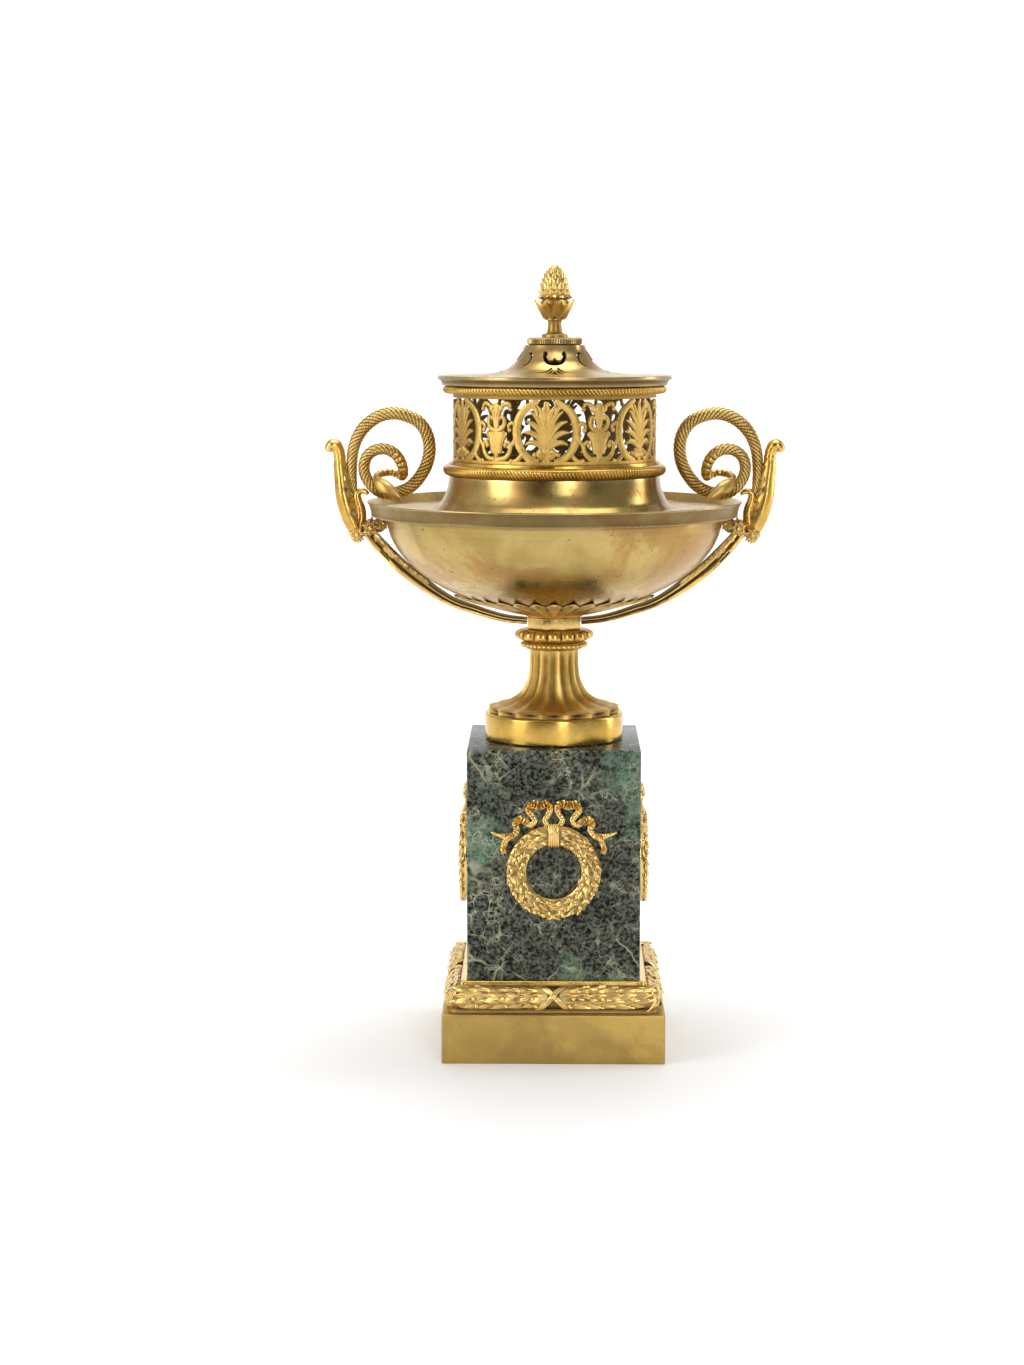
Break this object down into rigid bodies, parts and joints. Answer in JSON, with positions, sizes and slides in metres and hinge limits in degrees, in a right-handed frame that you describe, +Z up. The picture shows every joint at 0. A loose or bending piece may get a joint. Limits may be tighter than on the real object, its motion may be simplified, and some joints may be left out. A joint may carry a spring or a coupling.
{
  "type": "perfume burner",
  "caption": "Footed perfume burner in gilt bronze: bowl with serpent handles, pierced gallery and domed lid, on a square green marble pedestal with laurel wreath mounts.",
  "frame": {"origin": "centre of the plinth's underside, on the surface that the burner stands on", "axes": "+Z up along the burner's axis; the handles lie along X, and -Y is the front that the picture shows"},
  "size_m": [0.2632, 0.2156, 0.45],
  "materials": {
    "gilt_bronze": "fire-gilt, satin",
    "pale_brass": "polished, with worn patina",
    "olive_brass": "dull satin",
    "green_marble": "polished"
  },
  "bodies": {
    "root": {"plinth": "olive_brass", "laurel_moulding": "gilt_bronze", "marble_pedestal": "green_marble", "wreath_front": "gilt_bronze", "wreath_right": "gilt_bronze", "wreath_back": "gilt_bronze", "wreath_left": "gilt_bronze", "foot_drum": "gilt_bronze", "fluted_foot": "gilt_bronze", "gadroon_collar": "gilt_bronze", "neck_block": "gilt_bronze", "leaf_calyx": "gilt_bronze", "bowl": "pale_brass", "shoulder": "pale_brass", "lower_rope_ring": "gilt_bronze", "gallery": "gilt_bronze", "upper_rope_ring": "gilt_bronze", "lid": "pale_brass", "milled_disc": "pale_brass", "finial": "gilt_bronze", "handle_right": "gilt_bronze", "handle_left": "gilt_bronze", "serpent_right": "gilt_bronze", "serpent_left": "gilt_bronze"}
  },
  "joints": []
}
